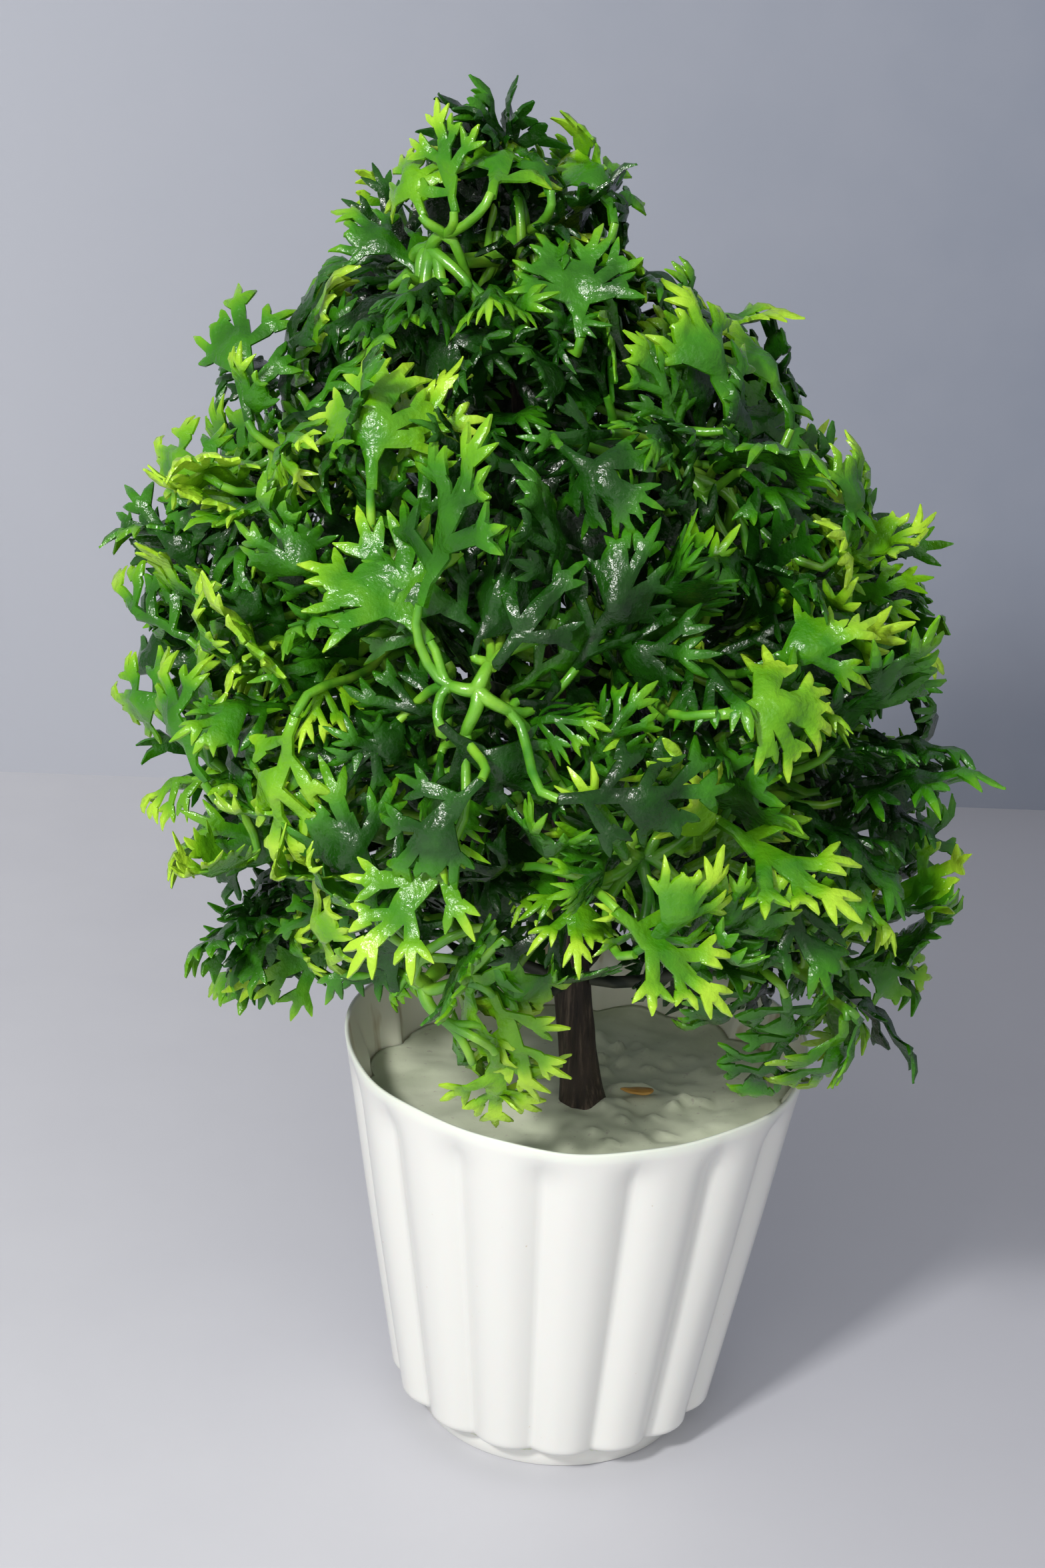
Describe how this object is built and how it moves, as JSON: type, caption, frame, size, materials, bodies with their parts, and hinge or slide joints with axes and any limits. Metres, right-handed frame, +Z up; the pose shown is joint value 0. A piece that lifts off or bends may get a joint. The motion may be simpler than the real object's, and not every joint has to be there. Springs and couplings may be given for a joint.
{
  "type": "artificial tabletop tree",
  "caption": "Small artificial tree in a fluted white pot filled with plaster, with a bark-wrapped leaning trunk and bendable wire branches carrying moulded leaf sprays.",
  "frame": {"origin": "centre of the flat underside of the pot", "axes": "+Z up along the pot's axis, -Y towards the front, +X to the right seen from the front; the trunk leans towards -X"},
  "size_m": [0.1925, 0.188, 0.3175],
  "materials": {
    "pot": "glossy white, slightly translucent at the rim",
    "plaster": "matt cast plaster, lumpy",
    "core_steel": "plain drawn wire",
    "bark_paper": "dark creased bark paper",
    "bark_chip": "rough orange-brown",
    "wrapped_wire": "steel wire in dark paper",
    "leaf_plastic": "moulded polyethylene, deep green with yellow-green tips"
  },
  "bodies": {
    "base": {"pot": "pot", "plaster_fill": "plaster", "trunk_core": "core_steel", "trunk_wrap": "bark_paper", "bark_chip": "bark_chip"},
    "leader": {"leader_wire": "wrapped_wire", "leader_left_spray": "leaf_plastic", "leader_right_spray": "leaf_plastic", "leader_tip_spray": "leaf_plastic"},
    "lower_1_limb": {"lower_branch_1": "wrapped_wire", "lower_1_left_spray": "leaf_plastic", "lower_1_right_spray": "leaf_plastic", "lower_1_tip_spray": "leaf_plastic"},
    "lower_2_limb": {"lower_branch_2": "wrapped_wire", "lower_2_left_spray": "leaf_plastic", "lower_2_right_spray": "leaf_plastic", "lower_2_tip_spray": "leaf_plastic"},
    "lower_3_limb": {"lower_branch_3": "wrapped_wire", "lower_3_left_spray": "leaf_plastic", "lower_3_right_spray": "leaf_plastic", "lower_3_tip_spray": "leaf_plastic"},
    "lower_4_limb": {"lower_branch_4": "wrapped_wire", "lower_4_left_spray": "leaf_plastic", "lower_4_right_spray": "leaf_plastic", "lower_4_tip_spray": "leaf_plastic"},
    "middle_1_limb": {"middle_branch_1": "wrapped_wire", "middle_1_left_spray": "leaf_plastic", "middle_1_right_spray": "leaf_plastic", "middle_1_tip_spray": "leaf_plastic"},
    "middle_2_limb": {"middle_branch_2": "wrapped_wire", "middle_2_left_spray": "leaf_plastic", "middle_2_right_spray": "leaf_plastic", "middle_2_tip_spray": "leaf_plastic"},
    "middle_3_limb": {"middle_branch_3": "wrapped_wire", "middle_3_left_spray": "leaf_plastic", "middle_3_right_spray": "leaf_plastic", "middle_3_tip_spray": "leaf_plastic"},
    "skirt_1_limb": {"skirt_branch_1": "wrapped_wire", "skirt_1_left_spray": "leaf_plastic", "skirt_1_right_spray": "leaf_plastic", "skirt_1_tip_spray": "leaf_plastic"},
    "skirt_2_limb": {"skirt_branch_2": "wrapped_wire", "skirt_2_left_spray": "leaf_plastic", "skirt_2_right_spray": "leaf_plastic", "skirt_2_tip_spray": "leaf_plastic"},
    "skirt_3_limb": {"skirt_branch_3": "wrapped_wire", "skirt_3_left_spray": "leaf_plastic", "skirt_3_right_spray": "leaf_plastic", "skirt_3_tip_spray": "leaf_plastic"},
    "skirt_4_limb": {"skirt_branch_4": "wrapped_wire", "skirt_4_left_spray": "leaf_plastic", "skirt_4_right_spray": "leaf_plastic", "skirt_4_tip_spray": "leaf_plastic"},
    "upper_1_limb": {"upper_branch_1": "wrapped_wire", "upper_1_tip_spray": "leaf_plastic"},
    "upper_2_limb": {"upper_branch_2": "wrapped_wire", "upper_2_tip_spray": "leaf_plastic"},
    "upper_3_limb": {"upper_branch_3": "wrapped_wire", "upper_3_tip_spray": "leaf_plastic"}
  },
  "joints": [
    {"name": "leader_bend", "type": "hinge", "parent": "base", "child": "leader", "pos_m": [-0.02421, 0.00077, 0.27333], "axis": [0, -1, 0], "range_deg": [-20, 20]},
    {"name": "lower_1_bend", "type": "hinge", "parent": "base", "child": "lower_1_limb", "pos_m": [-0.00527, -0.01028, 0.1505], "axis": [-0.9397, -0.342, 0], "range_deg": [-12, 12]},
    {"name": "lower_2_bend", "type": "hinge", "parent": "base", "child": "lower_2_limb", "pos_m": [-0.00233, -0.00397, 0.15058], "axis": [0.342, -0.9397, 0], "range_deg": [-12, 12]},
    {"name": "lower_3_bend", "type": "hinge", "parent": "base", "child": "lower_3_limb", "pos_m": [-0.0085, -0.00109, 0.14956], "axis": [0.9397, 0.342, 0], "range_deg": [-12, 12]},
    {"name": "lower_4_bend", "type": "hinge", "parent": "base", "child": "lower_4_limb", "pos_m": [-0.01143, -0.0074, 0.14948], "axis": [-0.342, 0.9397, 0], "range_deg": [-12, 12]},
    {"name": "middle_1_bend", "type": "hinge", "parent": "base", "child": "middle_1_limb", "pos_m": [-0.01246, -0.00837, 0.1874], "axis": [-0.9976, 0.0698, 0], "range_deg": [-12, 12]},
    {"name": "middle_2_bend", "type": "hinge", "parent": "base", "child": "middle_2_limb", "pos_m": [-0.00797, -0.00166, 0.18768], "axis": [0.4384, -0.8988, 0], "range_deg": [-12, 12]},
    {"name": "middle_3_bend", "type": "hinge", "parent": "base", "child": "middle_3_limb", "pos_m": [-0.01591, -0.00114, 0.18654], "axis": [0.5592, 0.829, 0], "range_deg": [-12, 12]},
    {"name": "skirt_1_bend", "type": "hinge", "parent": "base", "child": "skirt_1_limb", "pos_m": [-0.00433, -0.01207, 0.1165], "axis": [-0.9063, 0.4226, 0], "range_deg": [-14, 10]},
    {"name": "skirt_2_bend", "type": "hinge", "parent": "base", "child": "skirt_2_limb", "pos_m": [0.00239, -0.00958, 0.11732], "axis": [-0.4226, -0.9063, 0], "range_deg": [-14, 10]},
    {"name": "skirt_3_bend", "type": "hinge", "parent": "base", "child": "skirt_3_limb", "pos_m": [-0.00003, -0.00281, 0.11662], "axis": [0.9063, -0.4226, 0], "range_deg": [-14, 10]},
    {"name": "skirt_4_bend", "type": "hinge", "parent": "base", "child": "skirt_4_limb", "pos_m": [-0.00675, -0.0053, 0.11581], "axis": [0.4226, 0.9063, 0], "range_deg": [-14, 10]},
    {"name": "upper_1_bend", "type": "hinge", "parent": "base", "child": "upper_1_limb", "pos_m": [-0.02138, -0.00371, 0.22488], "axis": [-0.4384, 0.8988, 0], "range_deg": [-10, 14]},
    {"name": "upper_2_bend", "type": "hinge", "parent": "base", "child": "upper_2_limb", "pos_m": [-0.01386, -0.0042, 0.22596], "axis": [-0.5592, -0.829, 0], "range_deg": [-10, 14]},
    {"name": "upper_3_bend", "type": "hinge", "parent": "base", "child": "upper_3_limb", "pos_m": [-0.01713, 0.00265, 0.22514], "axis": [0.9976, -0.0698, 0], "range_deg": [-10, 14]}
  ]
}
